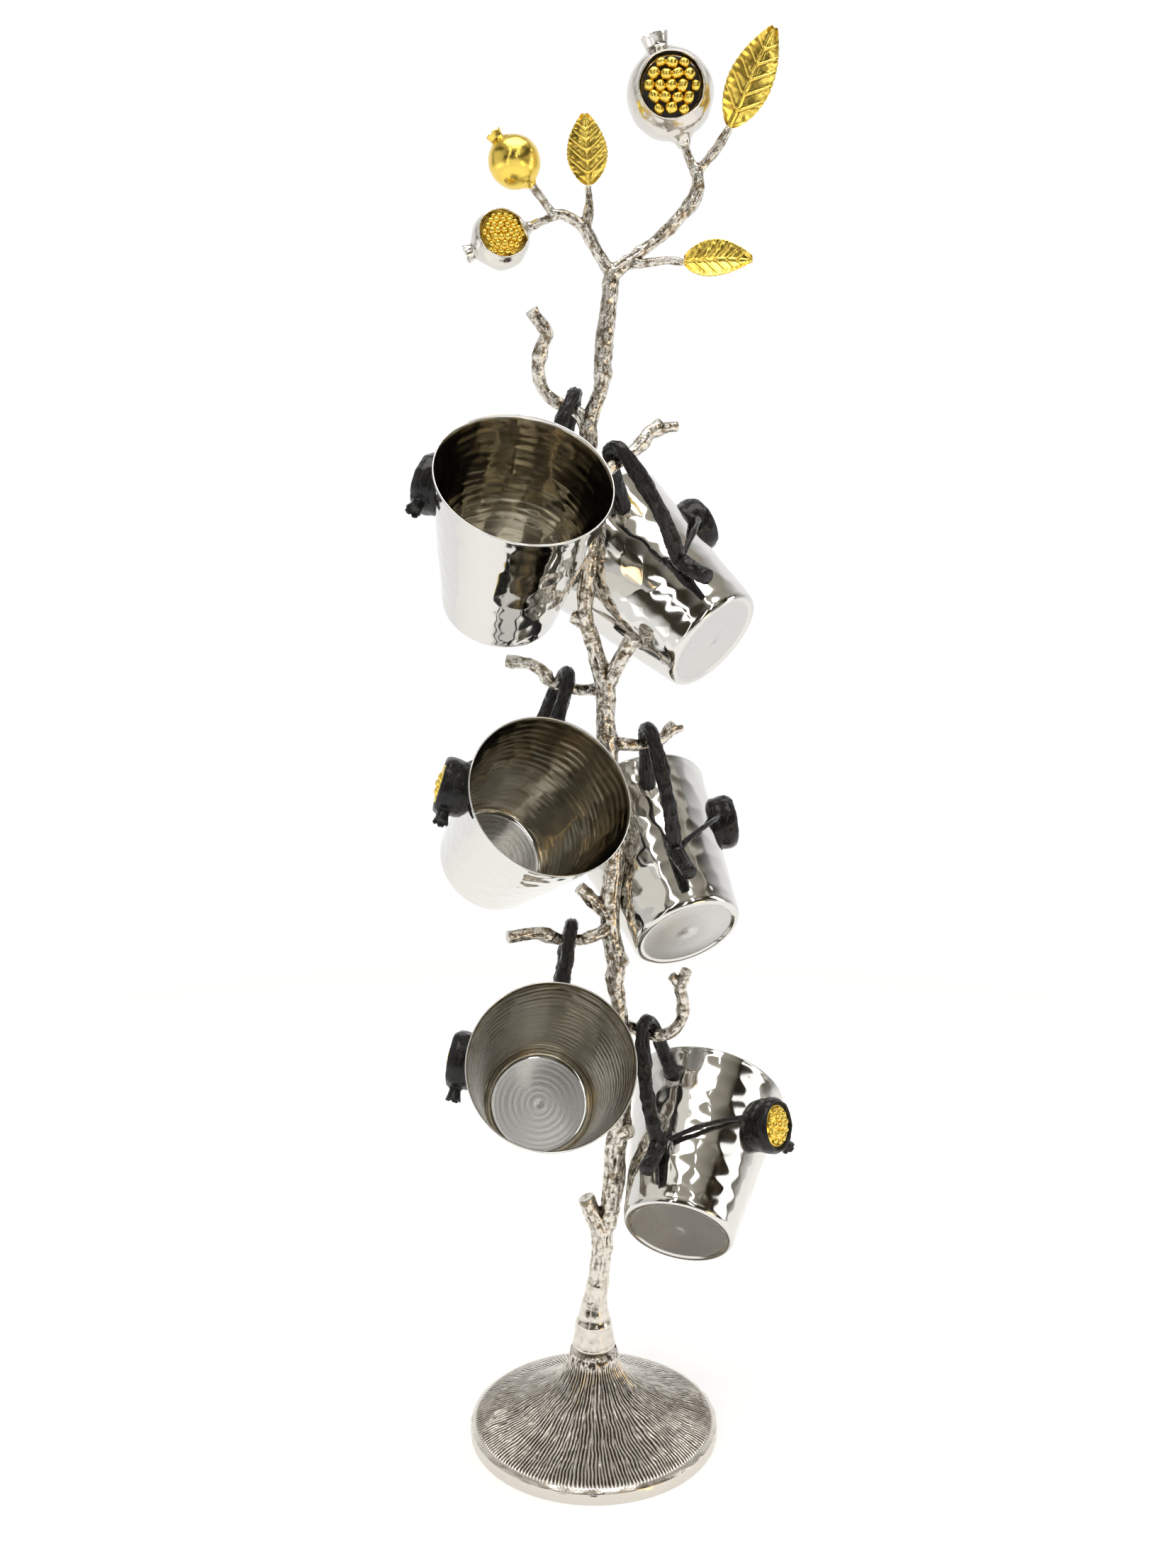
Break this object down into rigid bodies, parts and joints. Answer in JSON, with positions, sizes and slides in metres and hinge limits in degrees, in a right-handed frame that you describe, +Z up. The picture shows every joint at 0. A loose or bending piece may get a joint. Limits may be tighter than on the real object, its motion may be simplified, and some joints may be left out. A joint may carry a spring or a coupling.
{
  "type": "mug tree",
  "caption": "Tabletop mug tree: a cast twig on a domed foot with fruit and leaf finial, and hammered steel mugs hung by their handles on its cut hooks.",
  "frame": {"origin": "middle of the felt pad's underside, on the surface the tree stands on", "axes": "+Z up along the trunk, -Y towards the side the left mugs' mouths face, +X towards the right mugs"},
  "size_m": [0.1777, 0.1616, 0.6446],
  "materials": {
    "plating": "bright nickel plate over a cast bark surface, darkened in the hollows",
    "gilt": "gold plate",
    "steel": "mirror polished, hammered",
    "black": "satin black plated casting",
    "zinc": "zinc plated",
    "felt": "felt"
  },
  "bodies": {
    "tree": {"base_foot": "plating", "felt_pad": "felt", "base_stud": "zinc", "base_washer": "zinc", "base_nut": "zinc", "trunk": "plating", "hook_right_low": "plating", "hook_left_low": "plating", "hook_right_middle": "plating", "hook_left_middle": "plating", "hook_right_top": "plating", "hook_left_top": "plating", "crown_left_limb": "plating", "crown_right_limb": "plating", "leaf_top": "gilt", "leaf_left": "gilt", "leaf_right": "gilt", "pomegranate_big": "plating", "seeds_big": "gilt", "pomegranate_gold": "gilt", "pomegranate_small": "plating", "seeds_small": "gilt"},
    "mug_right_low": {"cup_right_low": "steel", "handle_right_low": "black", "twig_right_low": "black", "pomegranate_right_low": "black", "seeds_right_low": "gilt"},
    "mug_left_low": {"cup_left_low": "steel", "handle_left_low": "black", "twig_left_low": "black", "pomegranate_left_low": "black", "seeds_left_low": "gilt"},
    "mug_right_middle": {"cup_right_middle": "steel", "handle_right_middle": "black", "twig_right_middle": "black", "pomegranate_right_middle": "black", "seeds_right_middle": "gilt"},
    "mug_left_middle": {"cup_left_middle": "steel", "handle_left_middle": "black", "twig_left_middle": "black", "pomegranate_left_middle": "black", "seeds_left_middle": "gilt"},
    "mug_right_top": {"cup_right_top": "steel", "handle_right_top": "black", "twig_right_top": "black", "pomegranate_right_top": "black", "seeds_right_top": "gilt"},
    "mug_left_top": {"cup_left_top": "steel", "handle_left_top": "black", "twig_left_top": "black", "pomegranate_left_top": "black", "seeds_left_top": "gilt"}
  },
  "joints": [
    {"name": "lift_right_low", "type": "slide", "parent": "tree", "child": "mug_right_low", "axis": [0.384, -0.211, 0.8989], "range_m": [0, 0.05]},
    {"name": "lift_left_low", "type": "slide", "parent": "tree", "child": "mug_left_low", "axis": [-0.9062, -0.2821, 0.3151], "range_m": [0, 0.035]},
    {"name": "lift_right_middle", "type": "slide", "parent": "tree", "child": "mug_right_middle", "axis": [0.7029, 0.212, 0.6789], "range_m": [0, 0.022]},
    {"name": "lift_left_middle", "type": "slide", "parent": "tree", "child": "mug_left_middle", "axis": [-0.6871, -0.046, 0.7251], "range_m": [0, 0.037]},
    {"name": "lift_right_top", "type": "slide", "parent": "tree", "child": "mug_right_top", "axis": [0.4889, 0.2689, 0.8298], "range_m": [0, 0.04]},
    {"name": "lift_left_top", "type": "slide", "parent": "tree", "child": "mug_left_top", "axis": [-0.1721, -0.1801, 0.9685], "range_m": [0, 0.071]}
  ]
}
